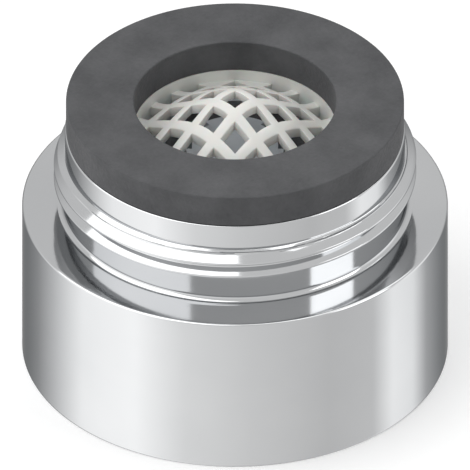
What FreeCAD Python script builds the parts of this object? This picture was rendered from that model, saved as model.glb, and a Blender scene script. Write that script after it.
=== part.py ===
import FreeCAD, Part
import math
import os

from FreeCAD import Vector

# A tap aerator with a male thread. All sizes are in millimetres.
# The origin is the centre of the outlet rim, and +Z runs up the axis to the inlet.

# Housing, outside: a turned brass collar with a short thread and a nose above it
collar_diameter = 28.2
collar_height = 11.5
relief_diameter = 22.64
relief_height = 1.96
relief_chamfer = 0.42
thread_diameter = 24.0
thread_length = 1.9
thread_lead_height = 0.4
nose_diameter = 22.54
nose_height = 1.74

# Housing, inside: the seat for the insert, the throat and the wide outlet bore
flange_seat_depth = 1.4
throat_length_below_collar_top = 0.5
outlet_bore_diameter = 22.0
mouth_chamfer = 0.6

# Flat sealing washer on the nose
washer_diameter = 22.4
washer_bore_diameter = 13.4
washer_thickness = 2.3

# Insert barrel, moulded: a flange over a straight tube with air windows
flange_diameter = 20.4
barrel_diameter = 18.6
barrel_setback = 0.6
recess_wall = 0.6
mixing_wall = 1.3
skirt_wall = 0.8
window_count = 6
window_height = 2.0
window_width = 5.4
window_drop = 0.3
window_sill = 0.7

# Strainer, moulded: a rim ring and a rounded cone pierced by square holes
strainer_rim_height = 1.9
strainer_foot_height = 0.8
strainer_shell = 0.58
strainer_flank_angle = 32.5
strainer_tip_radius = 3.45
strainer_hole_side = 1.35
strainer_hole_pitch = 2.02
strainer_least_hole = 0.4

# Flow regulator: a cup with a fluted hub, and a loose rubber ring round the hub
regulator_height = 2.3
regulator_floor = 0.7
regulator_hub_diameter = 6.6
regulator_hub_rise = 0.6
regulator_flute_count = 8
regulator_flute_width = 0.9
regulator_flute_depth = 0.45
regulator_slot_width = 1.6
ring_section = 1.9
ring_gap = 0.35

# Jet plate: a shallow cup with a circle of fine slots
jet_plate_thickness = 0.9
jet_plate_depth = 1.7
jet_plate_rim = 0.65
jet_slot_length = 2.2
jet_slot_width = 0.8
jet_slot_count = 16
jet_slot_inset = 0.6

# Mixing grids and a wire screen between them, stacked in the skirt
mixing_grid_height = 0.9
mixing_grid_rim = 0.7
mixing_slot_width = 1.4
mixing_bar_width = 0.5
screen_thickness = 0.35
screen_rim = 0.6
screen_gap_side = 1.9
screen_bar_width = 0.6

# Outlet grid: a honeycomb with a tall rim, pressed into the skirt
honeycomb_height = 2.0
honeycomb_cell = 2.0
honeycomb_wall = 0.4
outlet_rim = 0.75

# Clearances
drop_in_clearance = 0.1
throat_clearance = 0.15
moulded_clearance = 0.05

# Heights that follow from the sizes above
collar_top = collar_height
thread_bottom = collar_top + relief_height
thread_top = thread_bottom + thread_length
nose_bottom = thread_top + thread_lead_height
nose_top = nose_bottom + nose_height
flange_seat = nose_top - flange_seat_depth
throat_bottom = collar_top - throat_length_below_collar_top
strainer_base = nose_top - strainer_rim_height
regulator_base = strainer_base - regulator_height
jet_seat = regulator_base - jet_plate_depth
window_top = throat_bottom - window_drop
window_bottom = window_top - window_height
stack_seat = window_bottom - window_sill
screen_top = stack_seat - mixing_grid_height
lower_grid_top = screen_top - screen_thickness
outlet_rim_top = lower_grid_top - mixing_grid_height

# Radii that follow from the sizes above
washer_bore_radius = washer_bore_diameter / 2
barrel_radius = barrel_diameter / 2
throat_radius = barrel_radius + throat_clearance
outlet_bore_radius = outlet_bore_diameter / 2
recess_radius = barrel_radius - recess_wall
insert_radius = recess_radius - moulded_clearance
mixing_radius = barrel_radius - mixing_wall
skirt_bore_radius = barrel_radius - skirt_wall
stack_radius = skirt_bore_radius - moulded_clearance

axis = Vector(0, 0, 1)
origin = Vector(0, 0, 0)
overlap = 1.0


def turned(corners):
    """A solid of revolution from the corners (radius, height) of its half section."""
    points = [Vector(radius, 0, height) for radius, height in corners]
    outline = Part.makePolygon(points + points[:1])
    return Part.Face(outline).revolve(origin, axis, 360)


def tube(outer_radius, inner_radius, bottom, top):
    """A plain ring between two heights."""
    return turned([(inner_radius, bottom), (outer_radius, bottom),
                   (outer_radius, top), (inner_radius, top)])


def rod(radius, bottom, top):
    """A round bar on the axis between two heights."""
    return Part.makeCylinder(radius, top - bottom, Vector(0, 0, bottom))


def rim_edges(shape, radius, height):
    """The round edges of a shape at one radius and height."""
    found = []
    for edge in shape.Edges:
        if isinstance(edge.Curve, Part.Circle):
            same_radius = abs(edge.Curve.Radius - radius) < 1e-6
            if same_radius and abs(edge.Curve.Center.z - height) < 1e-6:
                found.append(edge)
    return found


def around(cutter, count, start_angle=0.0):
    """Copies of a cutter, evenly spaced round the axis."""
    copies = []
    for index in range(count):
        copy = cutter.copy()
        copy.rotate(origin, axis, start_angle + 360 * index / count)
        copies.append(copy)
    return copies


def square_grid(pitch, reach):
    """Places of a square lattice, with one place on the axis."""
    steps = math.ceil(reach / pitch)
    line = [pitch * index for index in range(-steps, steps + 1)]
    return [(x, y) for x in line for y in line]


def make_housing():
    collar_radius = collar_diameter / 2
    relief_radius = relief_diameter / 2
    thread_radius = thread_diameter / 2
    nose_radius = nose_diameter / 2
    seat_radius = flange_diameter / 2 + drop_in_clearance
    body = turned([
        (outlet_bore_radius, 0),
        (collar_radius, 0),
        (collar_radius, collar_top),
        (relief_radius, collar_top),
        (relief_radius, thread_bottom),
        (thread_radius, thread_bottom),
        (thread_radius, thread_top),
        (nose_radius, nose_bottom),
        (nose_radius, nose_top),
        (seat_radius, nose_top),
        (seat_radius, flange_seat),
        (throat_radius, flange_seat),
        (throat_radius, throat_bottom),
        (outlet_bore_radius, throat_bottom),
    ])
    body = body.makeChamfer(relief_chamfer, rim_edges(body, relief_radius, collar_top))
    return body.makeChamfer(mouth_chamfer, rim_edges(body, outlet_bore_radius, 0))


def make_sealing_washer():
    outer_radius = washer_diameter / 2
    top = nose_top + washer_thickness
    return tube(outer_radius, washer_bore_radius, nose_top, top)


def make_insert_barrel():
    barrel = turned([
        (recess_radius, nose_top),
        (flange_diameter / 2, nose_top),
        (flange_diameter / 2, flange_seat),
        (barrel_radius, flange_seat),
        (barrel_radius, barrel_setback),
        (skirt_bore_radius, barrel_setback),
        (skirt_bore_radius, stack_seat),
        (mixing_radius, stack_seat),
        (mixing_radius, jet_seat),
        (recess_radius, jet_seat),
    ])
    window = Part.makeBox(barrel_radius + overlap, window_width, window_height,
                          Vector(0, -window_width / 2, window_bottom))
    return barrel.cut(around(window, window_count))


def strainer_dome_edges(offset):
    """Edges of one face of the dome, offset inwards, from the rim wall to the axis."""
    flank = math.radians(strainer_flank_angle)
    tip_edge_radius = strainer_tip_radius * math.sin(flank)
    wall_height = strainer_base + strainer_foot_height
    tip_edge_height = wall_height + (washer_bore_radius - tip_edge_radius) * math.tan(flank)
    tip_centre_height = tip_edge_height - strainer_tip_radius * math.cos(flank)
    tip_radius = strainer_tip_radius - offset

    def on_tip(angle):
        return Vector(tip_radius * math.sin(angle), 0,
                      tip_centre_height + tip_radius * math.cos(angle))

    wall = Vector(washer_bore_radius, 0, wall_height - offset / math.cos(flank))
    tip_arc = Part.Arc(on_tip(flank), on_tip(flank / 2), on_tip(0)).toShape()
    return [Part.makeLine(wall, on_tip(flank)), tip_arc]


def make_strainer():
    outer = strainer_dome_edges(0.0)
    inner = strainer_dome_edges(strainer_shell)
    wall = Part.makeLine(inner[0].Vertexes[0].Point, outer[0].Vertexes[0].Point)
    axis_line = Part.makeLine(outer[-1].Vertexes[-1].Point, inner[-1].Vertexes[-1].Point)
    section = Part.Wire(Part.__sortEdges__(outer + inner + [wall, axis_line]))
    dome = Part.Face(section).revolve(origin, axis, 360)
    side = strainer_hole_side
    reach = washer_bore_radius - strainer_least_hole
    holes = []
    for x, y in square_grid(strainer_hole_pitch, reach):
        nearest = math.hypot(max(0, abs(x) - side / 2), max(0, abs(y) - side / 2))
        if nearest < reach:
            corner = Vector(x - side / 2, y - side / 2, strainer_base)
            holes.append(Part.makeBox(side, side, nose_top + overlap * 4 - strainer_base, corner))
    dome = dome.cut(holes)
    rim = tube(insert_radius, washer_bore_radius, strainer_base, nose_top)
    return rim.fuse(dome).removeSplitter()


def make_regulator_body():
    hub_radius = regulator_hub_diameter / 2
    channel_radius = hub_radius + ring_gap + ring_section + ring_gap
    floor_top = regulator_base + regulator_floor
    hub_top = strainer_base + regulator_hub_rise
    body = turned([
        (0, regulator_base),
        (insert_radius, regulator_base),
        (insert_radius, strainer_base),
        (channel_radius, strainer_base),
        (channel_radius, floor_top),
        (hub_radius, floor_top),
        (hub_radius, hub_top),
        (0, hub_top),
    ])
    flute = Part.makeBox(2 * regulator_flute_depth, regulator_flute_width,
                         hub_top + overlap - floor_top,
                         Vector(hub_radius - regulator_flute_depth,
                                -regulator_flute_width / 2, floor_top))
    slot = Part.makeBox(ring_section, regulator_slot_width, regulator_floor + 2 * overlap,
                        Vector(hub_radius + ring_gap, -regulator_slot_width / 2,
                               regulator_base - overlap))
    flutes = around(flute, regulator_flute_count)
    slots = around(slot, regulator_flute_count)
    return body.cut(flutes + slots)


def make_regulator_ring():
    inner_radius = regulator_hub_diameter / 2 + ring_gap
    bottom = regulator_base + regulator_floor
    return tube(inner_radius + ring_section, inner_radius, bottom, bottom + ring_section)


def make_jet_plate():
    plate_top = jet_seat + jet_plate_thickness
    rim_inner_radius = insert_radius - jet_plate_rim
    plate = turned([
        (0, jet_seat),
        (insert_radius, jet_seat),
        (insert_radius, regulator_base),
        (rim_inner_radius, regulator_base),
        (rim_inner_radius, plate_top),
        (0, plate_top),
    ])
    slot_end = mixing_radius - jet_slot_inset
    slot = Part.makeBox(jet_slot_length, jet_slot_width, jet_plate_thickness + 2 * overlap,
                        Vector(slot_end - jet_slot_length, -jet_slot_width / 2,
                               jet_seat - overlap))
    return plate.cut(around(slot, jet_slot_count))


def make_mixing_grid(top, turn):
    """A disc with parallel slots, each as long as the rim allows."""
    bottom = top - mixing_grid_height
    disc = rod(stack_radius, bottom, top)
    open_radius = stack_radius - mixing_grid_rim
    pitch = mixing_slot_width + mixing_bar_width
    half_width = mixing_slot_width / 2
    steps = math.floor((open_radius - mixing_slot_width) / pitch)
    slots = []
    for index in range(-steps, steps + 1):
        middle = pitch * index
        half_length = math.sqrt(open_radius ** 2 - (abs(middle) + half_width) ** 2)
        corner = Vector(-half_length, middle - half_width, bottom - overlap)
        slots.append(Part.makeBox(2 * half_length, mixing_slot_width,
                                  mixing_grid_height + 2 * overlap, corner))
    grid = disc.cut(slots)
    grid.rotate(origin, axis, turn)
    return grid


def make_wire_screen():
    """A wire screen as a thin disc with a square lattice of gaps and a plain rim."""
    bottom = screen_top - screen_thickness
    disc = rod(stack_radius, bottom, screen_top)
    side = screen_gap_side
    open_radius = stack_radius - screen_rim
    gaps = []
    for x, y in square_grid(screen_gap_side + screen_bar_width, open_radius):
        furthest = math.hypot(abs(x) + side / 2, abs(y) + side / 2)
        if furthest < open_radius:
            corner = Vector(x - side / 2, y - side / 2, bottom - overlap)
            gaps.append(Part.makeBox(side, side, screen_thickness + 2 * overlap, corner))
    screen = disc.cut(gaps)
    screen.rotate(origin, axis, 45)
    return screen


def make_outlet_grid():
    bottom = barrel_setback
    floor_top = bottom + honeycomb_height
    inner_radius = stack_radius - outlet_rim
    grid = turned([
        (0, bottom),
        (stack_radius, bottom),
        (stack_radius, outlet_rim_top),
        (inner_radius, outlet_rim_top),
        (inner_radius, floor_top),
        (0, floor_top),
    ])
    pitch = honeycomb_cell + honeycomb_wall
    row_pitch = pitch * math.cos(math.radians(30))
    corner_radius = honeycomb_cell / 2 / math.cos(math.radians(30))
    corners = []
    for index in range(7):
        angle = math.radians(30 + 60 * index)
        corners.append(Vector(corner_radius * math.cos(angle), corner_radius * math.sin(angle), 0))
    cell = Part.Face(Part.makePolygon(corners)).extrude(Vector(0, 0, honeycomb_height + 2 * overlap))
    rows = math.ceil(inner_radius / row_pitch)
    columns = math.ceil(inner_radius / pitch) + 1
    cells = []
    for row in range(-rows, rows + 1):
        for column in range(-columns, columns + 1):
            x = pitch * (column + (row % 2) / 2)
            y = row_pitch * row
            if math.hypot(x, y) + corner_radius < inner_radius:
                copy = cell.copy()
                copy.translate(Vector(x, y, bottom - overlap))
                cells.append(copy)
    return grid.cut(cells)


def make_parts():
    return {
        "housing": make_housing(),
        "sealing_washer": make_sealing_washer(),
        "strainer": make_strainer(),
        "insert_barrel": make_insert_barrel(),
        "regulator_body": make_regulator_body(),
        "regulator_ring": make_regulator_ring(),
        "jet_plate": make_jet_plate(),
        "mixing_grid_upper": make_mixing_grid(stack_seat, 0),
        "wire_screen": make_wire_screen(),
        "mixing_grid_lower": make_mixing_grid(lower_grid_top, 90),
        "outlet_grid": make_outlet_grid(),
    }


os.makedirs("parts", exist_ok=True)
for name, shape in make_parts().items():
    shape.exportStep(f"parts/{name}.step")
    print(name, "solids", len(shape.Solids), "valid", shape.isValid(), "volume", round(shape.Volume, 2))
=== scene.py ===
import math

import bmesh
import bpy
from mathutils import Matrix, Vector


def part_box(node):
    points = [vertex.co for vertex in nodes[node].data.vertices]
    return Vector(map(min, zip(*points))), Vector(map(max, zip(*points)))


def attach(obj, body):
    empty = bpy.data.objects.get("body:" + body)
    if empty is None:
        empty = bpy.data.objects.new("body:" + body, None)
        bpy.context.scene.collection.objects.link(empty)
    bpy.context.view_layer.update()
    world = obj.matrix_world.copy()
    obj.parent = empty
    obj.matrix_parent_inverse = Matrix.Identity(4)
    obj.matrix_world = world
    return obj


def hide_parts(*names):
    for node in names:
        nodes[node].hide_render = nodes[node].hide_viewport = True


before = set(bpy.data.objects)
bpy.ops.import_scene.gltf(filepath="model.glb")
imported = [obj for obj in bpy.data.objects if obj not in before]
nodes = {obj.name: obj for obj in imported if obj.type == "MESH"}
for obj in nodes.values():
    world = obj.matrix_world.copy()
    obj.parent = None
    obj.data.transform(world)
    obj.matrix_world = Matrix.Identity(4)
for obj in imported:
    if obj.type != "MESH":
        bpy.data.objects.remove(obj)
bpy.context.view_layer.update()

# Camera
# The part is seen from above one corner of the strainer's lattice, along equal shares of all three
# axes and with no perspective. The view is centred on the axis, just below half the part's height.
view_width = 0.031126
view_centre = Vector((0, 0, 0.00888))
view_distance = 0.3
towards_camera = Vector((1, -1, 1)).normalized()

camera_data = bpy.data.cameras.new("camera")
camera_data.type = "ORTHO"
camera_data.ortho_scale = view_width
camera_data.clip_start = 0.01
camera_data.clip_end = 5
camera = bpy.data.objects.new("camera", camera_data)
camera.location = view_centre + towards_camera * view_distance
camera.rotation_mode = "QUATERNION"
camera.rotation_quaternion = (-towards_camera).to_track_quat("-Z", "Y")
bpy.context.scene.collection.objects.link(camera)
bpy.context.scene.camera = camera

# Housing
# One piece of brass, turned from bar, threaded and chrome plated. The collar stands on its outlet
# rim, the groove above it frees the thread, and the nose above the thread carries the washer.
mm = 0.001
around_steps = 240
housing_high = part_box("housing")[1]
flange_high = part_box("insert_barrel")[1]
collar_radius = housing_high.x / mm
nose_top = housing_high.z / mm
collar_top = 11.5
relief_radius = 11.32
nose_bottom = 15.76
nose_radius = 11.27
flange_seat = 16.1
seat_radius = flange_high.x / mm + 0.1
throat_radius = 9.45
throat_bottom = 11.0
bore_radius = 11.0
mouth_chamfer = 0.6
edge_break = 0.08
collar_rounding = 0.15
groove_fillet = 0.42
nose_rounding = 0.1
thread_bottom = 13.46
thread_top = 15.36
thread_radius = 12.0
thread_pitch = 1.0
thread_depth = 0.58
thread_turns = 5
turns_below = 2
thread_rounding = 0.03
crest_flat = 0.14
flank_slope = math.tan(math.radians(60))
core_radius = 11.0
lead_steps = 6
hair = 1e-4
chrome_colour = (0.56, 0.565, 0.57, 1)
chrome_shade = (0.50, 0.507, 0.515, 1)
chrome_edge_tint = (0.45, 0.46, 0.47, 1)


def round_corner(before, corner, after, width, arc_steps=5, border=0.04):
    """Points round one corner of a section, with a short straight border each side of the arc."""
    back = (before - corner).normalized()
    ahead = (after - corner).normalized()
    half_angle = back.angle(ahead) / 2
    centre = corner + (back + ahead).normalized() * width / math.cos(half_angle)
    first = corner + back * width - centre
    last = corner + ahead * width - centre
    arc = [centre + first.slerp(last, step / arc_steps) * first.length
           for step in range(arc_steps + 1)]
    return [corner + back * (width + border)] + arc + [corner + ahead * (width + border)]


def turned(corners, steps=around_steps):
    """Spins a closed half section of (radius, height, rounding) corners, all in millimetres."""
    points = []
    places = [Vector(corner[:2]) for corner in corners]
    for index, corner in enumerate(corners):
        if corner[2] > 0:
            after = places[(index + 1) % len(places)]
            points += round_corner(places[index - 1], places[index], after, corner[2])
        else:
            points.append(places[index])
    bm = bmesh.new()
    verts = [bm.verts.new((point.x * mm, 0, point.y * mm)) for point in points]
    edges = [bm.edges.new((verts[index - 1], verts[index])) for index in range(len(verts))]
    bmesh.ops.spin(bm, geom=verts + edges, cent=(0, 0, 0), axis=(0, 0, 1),
                   angle=2 * math.pi, steps=steps, use_merge=True)
    bmesh.ops.recalc_face_normals(bm, faces=bm.faces)
    return bm


def slice_mesh(bm, normal, distance, **cleared):
    """Cuts every face along a plane, given by its normal and its distance in millimetres."""
    bmesh.ops.bisect_plane(bm, geom=bm.verts[:] + bm.edges[:] + bm.faces[:], dist=1e-8,
                           plane_co=normal * (distance * mm), plane_no=normal, **cleared)


def new_verts(made):
    """The vertices among the things that an operator made."""
    return [item for item in made["geom"] if isinstance(item, bmesh.types.BMVert)]


def round_edges(bm, edges, width, clamped=True):
    """Rounds some edges by a width in millimetres."""
    bmesh.ops.bevel(bm, geom=edges, offset=width * mm, segments=2, profile=0.5,
                    affect="EDGES", material=-1, clamp_overlap=clamped)


def add_mesh(whole, part):
    """Puts one finished mesh into another."""
    carrier = bpy.data.meshes.new("carrier")
    part.to_mesh(carrier)
    part.free()
    whole.from_mesh(carrier)
    bpy.data.meshes.remove(carrier)


def add_piece(bm, name, material, replaced):
    """Makes a mesh the part's own piece, which stands for the solid that it replaces."""
    mesh = bpy.data.meshes.new(name)
    bm.to_mesh(mesh)
    bm.free()
    mesh.polygons.foreach_set("use_smooth", [True] * len(mesh.polygons))
    mesh.set_sharp_from_angle(angle=math.radians(35))
    mesh.materials.append(material)
    piece = bpy.data.objects.new(name, mesh)
    bpy.context.scene.collection.objects.link(piece)
    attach(piece, "root")
    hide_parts(replaced)


def new_group(name, inputs, output):
    """An empty shader node group with number inputs and one number output."""
    group = bpy.data.node_groups.new(name, "ShaderNodeTree")
    for label, value in inputs:
        socket = group.interface.new_socket(label, in_out="INPUT", socket_type="NodeSocketFloat")
        socket.default_value = value
    group.interface.new_socket(output, in_out="OUTPUT", socket_type="NodeSocketFloat")
    return group, group.nodes.new("NodeGroupInput"), group.nodes.new("NodeGroupOutput")


def add_node(tree, kind, **settings):
    """A node with some of its settings or input values set by name."""
    node = tree.nodes.new(kind)
    for label, value in settings.items():
        if hasattr(node, label):
            setattr(node, label, value)
        else:
            node.inputs[label].default_value = value
    return node


def make_turning_marks():
    """Height of the fine rings that a lathe tool leaves, on end faces and round the sides."""
    group, given, result = new_group("turning_marks", [("Pitch", 0.1), ("Waver", 0.2)], "Height")
    links = group.links
    place = add_node(group, "ShaderNodeTexCoord")
    split = add_node(group, "ShaderNodeSeparateXYZ")
    links.new(place.outputs["Object"], split.inputs[0])
    flat = add_node(group, "ShaderNodeCombineXYZ")
    links.new(split.outputs["X"], flat.inputs["X"])
    links.new(split.outputs["Y"], flat.inputs["Y"])
    radius = add_node(group, "ShaderNodeVectorMath", operation="LENGTH")
    links.new(flat.outputs[0], radius.inputs[0])
    along = add_node(group, "ShaderNodeMath", operation="ADD")
    links.new(radius.outputs["Value"], along.inputs[0])
    links.new(split.outputs["Z"], along.inputs[1])
    pitch = add_node(group, "ShaderNodeMath", operation="MULTIPLY")
    pitch.inputs[1].default_value = mm
    links.new(given.outputs["Pitch"], pitch.inputs[0])
    scaled = add_node(group, "ShaderNodeMath", operation="DIVIDE")
    links.new(along.outputs[0], scaled.inputs[0])
    links.new(pitch.outputs[0], scaled.inputs[1])
    rings = add_node(group, "ShaderNodeTexNoise", noise_dimensions="1D", Scale=1.0, Detail=3.0)
    links.new(scaled.outputs[0], rings.inputs["W"])
    haze = add_node(group, "ShaderNodeTexNoise", Scale=900.0, Detail=2.0)
    links.new(place.outputs["Object"], haze.inputs["Vector"])
    mixed = add_node(group, "ShaderNodeMix", data_type="FLOAT")
    links.new(given.outputs["Waver"], mixed.inputs[0])
    links.new(rings.outputs[0], mixed.inputs[2])
    links.new(haze.outputs[0], mixed.inputs[3])
    links.new(mixed.outputs[0], result.inputs["Height"])
    return group


def make_blotches():
    """Soft uneven mask, for handling marks, small changes of tone and fine grain."""
    group, given, result = new_group("blotches", [("Scale", 200.0), ("Low", 0.3), ("High", 0.7)],
                                     "Mask")
    links = group.links
    place = add_node(group, "ShaderNodeTexCoord")
    noise = add_node(group, "ShaderNodeTexNoise", Detail=4.0, Roughness=0.55)
    links.new(place.outputs["Object"], noise.inputs["Vector"])
    links.new(given.outputs["Scale"], noise.inputs["Scale"])
    spread = add_node(group, "ShaderNodeMapRange")
    links.new(noise.outputs[0], spread.inputs["Value"])
    links.new(given.outputs["Low"], spread.inputs["From Min"])
    links.new(given.outputs["High"], spread.inputs["From Max"])
    links.new(spread.outputs["Result"], result.inputs["Mask"])
    return group


turning_marks = make_turning_marks()
blotches = make_blotches()


def new_material(name):
    """A material with its node tree and its Principled shader."""
    material = bpy.data.materials.new(name)
    material.use_nodes = True
    tree = material.node_tree
    return material, tree, tree.nodes["Principled BSDF"]


def place_group(tree, group, **values):
    """The output of a shared effect, placed in one material with its own values."""
    node = tree.nodes.new("ShaderNodeGroup")
    node.node_tree = group
    for label, value in values.items():
        node.inputs[label].default_value = value
    return node.outputs[0]


def blend_by(tree, mask, low, high):
    """A colour or a number that runs from low to high with a mask."""
    is_colour = isinstance(low, tuple)
    mix = add_node(tree, "ShaderNodeMix", data_type="RGBA" if is_colour else "FLOAT")
    first, second, out = (6, 7, 2) if is_colour else (2, 3, 0)
    tree.links.new(mask, mix.inputs[0])
    mix.inputs[first].default_value = low
    mix.inputs[second].default_value = high
    return mix.outputs[out]


def add_bump(tree, shader, height, strength, distance):
    """A fine relief on the surface, with its distance in millimetres."""
    bump = add_node(tree, "ShaderNodeBump", Strength=strength, Distance=distance * mm)
    tree.links.new(height, bump.inputs["Height"])
    tree.links.new(bump.outputs["Normal"], shader.inputs["Normal"])


def make_chrome():
    """Bright plate with faint turning marks, darker where it is seen at a low angle."""
    material, tree, shader = new_material("chrome_plate")
    shader.inputs["Metallic"].default_value = 1.0
    shader.inputs["Specular Tint"].default_value = chrome_edge_tint
    marks = place_group(tree, turning_marks, Pitch=0.16, Waver=0.1)
    mask = place_group(tree, blotches, Scale=60.0, Low=0.3, High=0.7)
    tree.links.new(blend_by(tree, mask, chrome_shade, chrome_colour), shader.inputs["Base Color"])
    tree.links.new(blend_by(tree, mask, 0.1, 0.07), shader.inputs["Roughness"])
    add_bump(tree, shader, marks, 0.06, 0.01)
    return material


def make_thread():
    """A right-hand V thread as a closed sleeve that lies round the neck."""
    bm = bmesh.new()
    root_radius = thread_radius - thread_depth
    flank_rise = thread_depth / flank_slope
    root_flat = thread_pitch - crest_flat - 2 * flank_rise
    tooth = [(root_radius, 0), (root_radius, root_flat), (thread_radius, root_flat + flank_rise),
             (thread_radius, root_flat + flank_rise + crest_flat), (root_radius, thread_pitch)]
    start = thread_bottom - turns_below * thread_pitch
    verts = [bm.verts.new((radius * mm, 0, (start + height) * mm)) for radius, height in tooth]
    edges = [bm.edges.new((verts[index], verts[index + 1])) for index in range(len(verts) - 1)]
    bmesh.ops.spin(bm, geom=verts + edges, cent=(0, 0, 0), axis=(0, 0, 1),
                   dvec=(0, 0, thread_pitch * mm / around_steps),
                   angle=2 * math.pi * thread_turns, steps=around_steps * thread_turns)
    bmesh.ops.remove_doubles(bm, verts=bm.verts, dist=1e-6)
    crests_and_roots = [edge for edge in bm.edges if len(edge.link_faces) == 2
                        and edge.calc_face_angle() > math.radians(40)]
    round_edges(bm, crests_and_roots, thread_rounding, clamped=False)

    up = Vector((0, 0, 1))
    slice_mesh(bm, up, thread_bottom + hair, clear_inner=True)
    slice_mesh(bm, up, nose_bottom - hair, clear_outer=True)
    for step in range(lead_steps):
        slice_mesh(bm, up, thread_top + (nose_bottom - thread_top) * step / lead_steps)
    for vert in bm.verts:
        rise = max(0.0, vert.co.z / mm - thread_top) / (nose_bottom - thread_top)
        most = (thread_radius + (nose_radius - thread_radius) * rise) * mm
        reach = vert.co.xy.length
        if reach > most:
            vert.co.xy *= most / reach

    rims = [edge for edge in bm.edges if edge.is_boundary]
    for vert in new_verts(bmesh.ops.extrude_edge_only(bm, edges=rims)):
        vert.co.xy *= core_radius * mm / vert.co.xy.length
    rims = [edge for edge in bm.edges if edge.is_boundary]
    bmesh.ops.bridge_loops(bm, edges=rims)
    bmesh.ops.recalc_face_normals(bm, faces=bm.faces)
    return bm


housing = turned([
    (bore_radius + mouth_chamfer, 0, edge_break),
    (collar_radius, 0, collar_rounding),
    (collar_radius, collar_top, collar_rounding),
    (relief_radius, collar_top, groove_fillet),
    (relief_radius, nose_bottom, 0),
    (nose_radius, nose_bottom, 0),
    (nose_radius, nose_top, nose_rounding),
    (seat_radius, nose_top, edge_break),
    (seat_radius, flange_seat, 0),
    (throat_radius, flange_seat, edge_break),
    (throat_radius, throat_bottom, edge_break),
    (bore_radius, throat_bottom, 0),
    (bore_radius, mouth_chamfer, edge_break),
])
add_mesh(housing, make_thread())
add_piece(housing, "threaded_housing", make_chrome(), "housing")

# Sealing washer
# A flat ring moulded in dark rubber. It lies loose on the nose and is squeezed against the
# spout's seat, so its faces are plain and its edges only slightly rounded.
washer_low, washer_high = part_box("sealing_washer")
washer_radius = washer_high.x / mm
washer_bottom = washer_low.z / mm
washer_top = washer_high.z / mm
washer_bore = 6.7
washer_rounding = 0.1
rubber_dark = (0.05, 0.051, 0.054, 1)
rubber_grey = (0.085, 0.086, 0.09, 1)


def make_rubber(name, dark, grey):
    """Dull rubber, a little uneven in tone, with a fine moulded grain."""
    material, tree, shader = new_material(name)
    shader.inputs["Specular IOR Level"].default_value = 0.4
    mask = place_group(tree, blotches, Scale=340.0, Low=0.3, High=0.72)
    grain = place_group(tree, blotches, Scale=3600.0, Low=0.25, High=0.75)
    tree.links.new(blend_by(tree, mask, dark, grey), shader.inputs["Base Color"])
    tree.links.new(blend_by(tree, grain, 0.62, 0.8), shader.inputs["Roughness"])
    add_bump(tree, shader, grain, 0.8, 0.04)
    return material


washer = turned([
    (washer_bore, washer_bottom, washer_rounding),
    (washer_radius, washer_bottom, washer_rounding),
    (washer_radius, washer_top, washer_rounding),
    (washer_bore, washer_top, washer_rounding),
])
washer_rubber = make_rubber("washer_rubber", rubber_dark, rubber_grey)
add_piece(washer, "rubber_washer", washer_rubber, "sealing_washer")

# Strainer
# One moulding in off-white plastic: a rim that drops into the insert, and a rounded cone inside
# the washer. Square holes go straight through the cone and end at the rim's wall.
strainer_low, strainer_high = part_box("strainer")
rim_radius = strainer_high.x / mm
rim_bottom = strainer_low.z / mm
rim_rounding = 0.08
rim_overlap = 0.2
hole_side = 1.35
hole_pitch = 2.02
hole_rounding = 0.06
least_hole = 0.4
shell = 0.62
dome_sides = 180
flank = math.radians(33)
foot = math.radians(11)
foot_width = 1.4
foot_radius = foot_width / (math.sin(flank) - math.sin(foot))
tip_radius = 3.45
tip_top = strainer_high.z / mm + 0.07
tip_edge = tip_radius * math.sin(flank)
tip_drop = tip_radius * (1 - math.cos(flank))
strainer_pale = (0.72, 0.72, 0.69, 1)
strainer_shade = (0.65, 0.65, 0.62, 1)


def dome_height(radius):
    """Height of the cone's outer face: a round tip, a straight flank and a foot that flattens."""
    if radius < tip_edge:
        return tip_top - tip_radius + math.sqrt(tip_radius ** 2 - radius ** 2)
    foot_start = washer_bore - foot_width
    flank_end = min(radius, foot_start)
    height = tip_top - tip_drop - (flank_end - tip_edge) * math.tan(flank)
    if radius > foot_start:
        turn = math.asin(math.sin(flank) - (radius - foot_start) / foot_radius)
        height -= foot_radius * (math.cos(turn) - math.cos(flank))
    return height


def hole_step(place):
    """Distance from the middle of the nearest row of holes, in millimetres."""
    return abs((place + hole_pitch / 2) % hole_pitch - hole_pitch / 2)


def in_hole(x, y):
    """Whether a place lies in one of the square holes that are large enough to mould."""
    if max(hole_step(x), hole_step(y)) > hole_side / 2:
        return False
    column = abs(round(x / hole_pitch)) * hole_pitch - hole_side / 2
    row = abs(round(y / hole_pitch)) * hole_pitch - hole_side / 2
    return math.hypot(max(0, column), max(0, row)) < washer_bore - least_hole


def make_plastic(name, pale, shade, scattering):
    """Satin plastic, with a little light scattered below its surface."""
    material, tree, shader = new_material(name)
    shader.inputs["Subsurface Weight"].default_value = scattering
    shader.inputs["Subsurface Scale"].default_value = 0.4 * mm
    mask = place_group(tree, blotches, Scale=300.0, Low=0.3, High=0.7)
    grain = place_group(tree, blotches, Scale=3800.0, Low=0.25, High=0.8)
    tree.links.new(blend_by(tree, mask, shade, pale), shader.inputs["Base Color"])
    tree.links.new(blend_by(tree, grain, 0.36, 0.46), shader.inputs["Roughness"])
    add_bump(tree, shader, grain, 0.25, 0.01)
    return material


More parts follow.
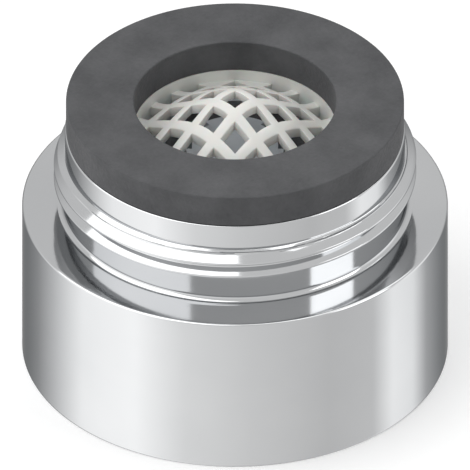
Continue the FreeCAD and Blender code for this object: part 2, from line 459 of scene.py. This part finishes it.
def make_dome():
    """The pierced shell: a disc cut along the holes' sides, thickened and raised to the cone."""
    bm = bmesh.new()
    bmesh.ops.create_circle(bm, cap_ends=True, segments=dome_sides,
                            radius=(washer_bore + rim_overlap) * mm)
    half = hole_side / 2
    offsets = (-half, -half / 2, 0, half / 2, half, hole_pitch / 2)
    reach = math.ceil(washer_bore / hole_pitch)
    for row in range(-reach, reach + 1):
        for offset in offsets:
            for normal in (Vector((1, 0, 0)), Vector((0, 1, 0))):
                slice_mesh(bm, normal, row * hole_pitch + offset)
    holes = []
    for face in bm.faces:
        centre = face.calc_center_median() / mm
        if in_hole(centre.x, centre.y):
            holes.append(face)
    bmesh.ops.delete(bm, geom=holes, context="FACES")

    inside = bmesh.ops.extrude_face_region(bm, geom=bm.faces[:], use_keep_orig=True)
    inside_verts = set(new_verts(inside))
    for vert in bm.verts:
        radius = vert.co.xy.length / mm
        thickness = shell / math.cos(flank) if radius > tip_edge else shell
        vert.co.z = (dome_height(radius) - (thickness if vert in inside_verts else 0)) * mm
    bmesh.ops.recalc_face_normals(bm, faces=bm.faces)
    hole_edges = []
    for edge in bm.edges:
        if len(edge.link_faces) == 2 and edge.verts[0].co.xy.length < washer_bore * mm:
            wall, face = sorted(abs(face.normal.z) for face in edge.link_faces)
            if wall < 0.3 and face > 0.5:
                hole_edges.append(edge)
    round_edges(bm, hole_edges, hole_rounding)
    return bm


strainer = turned([
    (washer_bore, rim_bottom, rim_rounding),
    (rim_radius, rim_bottom, rim_rounding),
    (rim_radius, nose_top, 0),
    (washer_bore, nose_top, 0),
])
add_mesh(strainer, make_dome())
strainer_plastic = make_plastic("strainer_plastic", strainer_pale, strainer_shade, 0.15)
add_piece(strainer, "domed_strainer", strainer_plastic, "strainer")

# Regulator
# A moulded body in grey plastic with a soft black ring lying loose round its hub. The ring
# closes on the hub's flutes as the pressure rises.
ring_low, ring_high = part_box("regulator_ring")
cord_radius = (ring_high.z - ring_low.z) / 2
cord_centre = ring_high.x - cord_radius
cord_sides = 24
ring_steps = 120
ring_black = (0.03, 0.03, 0.033, 1)
ring_grey = (0.05, 0.05, 0.054, 1)
regulator_pale = (0.52, 0.55, 0.58, 1)
regulator_shade = (0.44, 0.47, 0.50, 1)


def make_cord_ring():
    """A ring with a round section."""
    bm = bmesh.new()
    bmesh.ops.create_circle(bm, segments=cord_sides, radius=cord_radius)
    for vert in bm.verts:
        vert.co = (cord_centre + vert.co.x, 0, ring_low.z + cord_radius + vert.co.y)
    bmesh.ops.spin(bm, geom=bm.verts[:] + bm.edges[:], cent=(0, 0, 0), axis=(0, 0, 1),
                   angle=2 * math.pi, steps=ring_steps, use_merge=True)
    bmesh.ops.recalc_face_normals(bm, faces=bm.faces)
    return bm


ring_rubber = make_rubber("ring_rubber", ring_black, ring_grey)
add_piece(make_cord_ring(), "round_regulator_ring", ring_rubber, "regulator_ring")
regulator_plastic = make_plastic("regulator_plastic", regulator_pale, regulator_shade, 0.05)
nodes["regulator_body"].material_slots[0].material = regulator_plastic

# Insert
# The barrel, jet plate and mixing grids are moulded in one pale plastic. The plate and grids are
# stacked in the barrel, whose flange rests on the housing's seat below the strainer and washer.
insert_pale = (0.74, 0.74, 0.72, 1)
insert_shade = (0.65, 0.65, 0.63, 1)
insert_plastic = make_plastic("insert_plastic", insert_pale, insert_shade, 0.1)
for name in ("insert_barrel", "jet_plate", "mixing_grid_upper", "mixing_grid_lower"):
    nodes[name].material_slots[0].material = insert_plastic

# Outlet grid
# A honeycomb plate in a tall rim, moulded in the barrel's plastic and pressed into its outlet to
# straighten the water. The plate lies a little inside the rim's end, and its cells have soft lips.
grid_low, grid_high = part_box("outlet_grid")
grid_radius = grid_high.x / mm
grid_bottom = grid_low.z / mm
grid_top = grid_high.z / mm
grid_bore = grid_radius - 0.75
grid_rounding = 0.1
grid_foot_rounding = 0.15
cell_width = 2.0
cell_pitch = cell_width + 0.4
cell_corner = cell_width / 2 / math.cos(math.pi / 6)
lip_rounding = 0.07
plate_bottom = grid_bottom + 0.08
plate_top = grid_bottom + 2.0
plate_radius = grid_bore + 0.3
plate_sides = 72


def hexagon(bm, x, y, width):
    """Corners of a hexagon with two upright sides, in millimetres."""
    reach = width / 2 / math.cos(math.pi / 6)
    turns = [math.radians(30 + 60 * corner) for corner in range(6)]
    return [bm.verts.new(((x + reach * math.cos(turn)) * mm, (y + reach * math.sin(turn)) * mm,
                          plate_bottom * mm)) for turn in turns]


def make_honeycomb():
    """The plate: rows of hexagons, open where a whole cell fits, trimmed round and thickened."""
    bm = bmesh.new()
    row_pitch = cell_pitch * math.cos(math.pi / 6)
    rows = math.ceil(plate_radius / row_pitch) + 1
    for row in range(-rows, rows + 1):
        for column in range(-rows, rows + 1):
            x = cell_pitch * (column + row % 2 / 2)
            y = row_pitch * row
            outer = hexagon(bm, x, y, cell_pitch)
            if math.hypot(x, y) + cell_corner < grid_bore:
                inner = hexagon(bm, x, y, cell_width)
                for side in range(6):
                    bm.faces.new((outer[side - 1], outer[side], inner[side], inner[side - 1]))
            else:
                bm.faces.new(outer)
    bmesh.ops.remove_doubles(bm, verts=bm.verts, dist=1e-6)
    for side in range(plate_sides):
        turn = 2 * math.pi * side / plate_sides
        slice_mesh(bm, Vector((math.cos(turn), math.sin(turn), 0)), plate_radius, clear_outer=True)

    upper = bmesh.ops.extrude_face_region(bm, geom=bm.faces[:], use_keep_orig=True)
    for vert in new_verts(upper):
        vert.co.z = plate_top * mm
    bmesh.ops.recalc_face_normals(bm, faces=bm.faces)
    lips = []
    for edge in bm.edges:
        inside = edge.verts[0].co.xy.length < grid_bore * mm
        if inside and len(edge.link_faces) == 2 and edge.calc_face_angle() > math.radians(80):
            lips.append(edge)
    round_edges(bm, lips, lip_rounding)
    return bm


grid = turned([
    (grid_bore, grid_bottom, edge_break),
    (grid_radius, grid_bottom, grid_foot_rounding),
    (grid_radius, grid_top, grid_rounding),
    (grid_bore, grid_top, grid_rounding),
])
add_mesh(grid, make_honeycomb())
add_piece(grid, "honeycomb_outlet", insert_plastic, "outlet_grid")

# Wire screen
# A disc of woven stainless wire between the mixing grids, cut round and trapped at its edge. Each
# wire goes over one of the wires that cross it and under the next.
screen_low, screen_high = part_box("wire_screen")
screen_radius = screen_high.x
screen_middle = (screen_low.z + screen_high.z) / 2
wire_radius = (screen_high.z - screen_low.z) / 4
wire_pitch = 0.65 * mm
wire_sides = 6
wire_steps_per_pitch = 4
steel_dark = (0.5, 0.5, 0.5, 1)
steel_pale = (0.66, 0.66, 0.65, 1)


def make_wire(offset, phase):
    """One wire along X, waving over and under the wires that cross it."""
    half = math.sqrt(screen_radius ** 2 - offset ** 2) - wire_radius
    steps = max(4, round(2 * half / wire_pitch * wire_steps_per_pitch))
    bm = bmesh.new()
    bmesh.ops.create_circle(bm, segments=wire_sides, radius=wire_radius)
    for vert in bm.verts:
        vert.co = (-half, vert.co.x, vert.co.y)
    bmesh.ops.spin(bm, geom=bm.verts[:] + bm.edges[:], axis=(1, 0, 0), angle=0, steps=steps,
                   dvec=(2 * half / steps, 0, 0))
    bmesh.ops.holes_fill(bm, edges=[edge for edge in bm.edges if edge.is_boundary])
    for vert in bm.verts:
        wave = wire_radius * math.sin(math.pi * vert.co.x / wire_pitch + phase)
        vert.co.y += offset
        vert.co.z += screen_middle + wave
    return bm


def make_screen_steel():
    """Drawn wire with a satin surface."""
    material, tree, shader = new_material("screen_steel")
    shader.inputs["Metallic"].default_value = 1.0
    mask = place_group(tree, blotches, Scale=700.0, Low=0.3, High=0.7)
    tree.links.new(blend_by(tree, mask, steel_dark, steel_pale), shader.inputs["Base Color"])
    tree.links.new(blend_by(tree, mask, 0.3, 0.4), shader.inputs["Roughness"])
    return material


screen = bmesh.new()
wires_each_side = math.floor((screen_radius - 2 * wire_radius) / wire_pitch)
for index in range(-wires_each_side, wires_each_side + 1):
    for quarter_turn in (0, 1):
        wire = make_wire(index * wire_pitch, math.pi * (index + 0.5 + quarter_turn))
        bmesh.ops.rotate(wire, verts=wire.verts, cent=(0, 0, 0),
                         matrix=Matrix.Rotation(quarter_turn * math.pi / 2, 3, "Z"))
        add_mesh(screen, wire)
bmesh.ops.recalc_face_normals(screen, faces=screen.faces)
add_piece(screen, "woven_screen", make_screen_steel(), "wire_screen")

# Floor and light
# A plain pale floor, which the camera sees as white apart from the part's soft shadow, under a
# large lamp from the upper left, a weaker one from the right and one from behind. Mirrored faces
# don't see the floor, but bright and dark cards that stand all round below an even sky.
white = (1, 1, 1, 1)
floor_size = 1.2
floor_colour = (0.84, 0.84, 0.84, 1)
floor_lift = 0.2
sky_light = 0.44
sky_mirrored = 0.9
sky_seen = 1.0
cards_end = 0.1
sky_start = 0.4
card_strength = 1.65
card_levels = [(0.0, 0.4), (0.05, 0.6), (0.12, 0.95), (0.22, 1.0), (0.3, 0.72), (0.4, 0.6),
               (0.52, 0.5), (0.6, 0.55), (0.64, 0.92), (0.69, 0.92), (0.73, 0.5), (0.82, 0.3),
               (0.9, 0.25), (1.0, 0.4)]


def by_ray(tree, ray, level, otherwise):
    """A strength with one level for one kind of ray, and another for all other rays."""
    rays = add_node(tree, "ShaderNodeLightPath")
    mix = add_node(tree, "ShaderNodeMix", data_type="FLOAT")
    tree.links.new(rays.outputs[ray], mix.inputs[0])
    for socket, value in ((mix.inputs[2], otherwise), (mix.inputs[3], level)):
        if isinstance(value, float):
            socket.default_value = value
        else:
            tree.links.new(value, socket)
    return mix.outputs[0]


def mirrored_cards(tree):
    """Levels by direction: cards at each share of the turn, and the even sky above them."""
    direction = add_node(tree, "ShaderNodeTexCoord")
    split = add_node(tree, "ShaderNodeSeparateXYZ")
    tree.links.new(direction.outputs["Generated"], split.inputs[0])
    turn = add_node(tree, "ShaderNodeMath", operation="ARCTAN2")
    tree.links.new(split.outputs["Y"], turn.inputs[0])
    tree.links.new(split.outputs["X"], turn.inputs[1])
    share = add_node(tree, "ShaderNodeMapRange")
    share.inputs["From Min"].default_value = -math.pi
    share.inputs["From Max"].default_value = math.pi
    tree.links.new(turn.outputs[0], share.inputs["Value"])
    ramp = add_node(tree, "ShaderNodeValToRGB")
    stops = ramp.color_ramp.elements
    while len(stops) < len(card_levels):
        stops.new(1.0)
    for stop, (position, level) in zip(stops, card_levels):
        stop.position = position
        stop.color = (level, level, level, 1)
    tree.links.new(share.outputs["Result"], ramp.inputs[0])
    cards = add_node(tree, "ShaderNodeMath", operation="MULTIPLY")
    cards.inputs[1].default_value = card_strength
    tree.links.new(ramp.outputs[0], cards.inputs[0])
    height = add_node(tree, "ShaderNodeMapRange")
    height.inputs["From Min"].default_value = cards_end
    height.inputs["From Max"].default_value = sky_start
    tree.links.new(split.outputs["Z"], height.inputs["Value"])
    mix = add_node(tree, "ShaderNodeMix", data_type="FLOAT")
    tree.links.new(height.outputs["Result"], mix.inputs[0])
    tree.links.new(cards.outputs[0], mix.inputs[2])
    mix.inputs[3].default_value = sky_mirrored
    return mix.outputs[0]


floor_material, tree, shader = new_material("pale_floor")
shader.inputs["Base Color"].default_value = floor_colour
shader.inputs["Roughness"].default_value = 0.7
shader.inputs["Emission Color"].default_value = white
tree.links.new(by_ray(tree, "Is Camera Ray", floor_lift, 0.0), shader.inputs["Emission Strength"])
floor_bm = bmesh.new()
bmesh.ops.create_grid(floor_bm, x_segments=1, y_segments=1, size=floor_size)
floor_mesh = bpy.data.meshes.new("floor")
floor_bm.to_mesh(floor_mesh)
floor_bm.free()
floor_mesh.materials.append(floor_material)
floor = bpy.data.objects.new("floor", floor_mesh)
bpy.context.scene.collection.objects.link(floor)
floor.visible_glossy = False


def add_lamp(name, right, up, forward, size, power):
    """A square lamp, placed as seen by the camera and aimed at the part."""
    data = bpy.data.lights.new(name, "AREA")
    data.shape = "SQUARE"
    data.size = size
    data.energy = power
    lamp = bpy.data.objects.new(name, data)
    sideways = Vector((1, 1, 0)).normalized()
    ahead = Vector((1, -1, 0)).normalized()
    lamp.location = view_centre + sideways * right + ahead * forward + Vector((0, 0, up))
    lamp.rotation_mode = "QUATERNION"
    lamp.rotation_quaternion = (view_centre - lamp.location).to_track_quat("-Z", "Y")
    bpy.context.scene.collection.objects.link(lamp)


add_lamp("key_lamp", right=-0.16, up=0.2, forward=0.06, size=0.33, power=0.52)
add_lamp("fill_lamp", right=0.2, up=0.1, forward=0.08, size=0.12, power=0.12)
add_lamp("back_lamp", right=0.04, up=0.28, forward=-0.1, size=0.22, power=0.24)

world = bpy.data.worlds.new("studio")
bpy.context.scene.world = world
world.use_nodes = True
tree = world.node_tree
sky = tree.nodes["Background"]
sky.inputs["Color"].default_value = white
unseen_sky = by_ray(tree, "Is Glossy Ray", mirrored_cards(tree), sky_light)
tree.links.new(by_ray(tree, "Is Camera Ray", sky_seen, unseen_sky), sky.inputs["Strength"])
bpy.context.scene.view_settings.view_transform = "Standard"
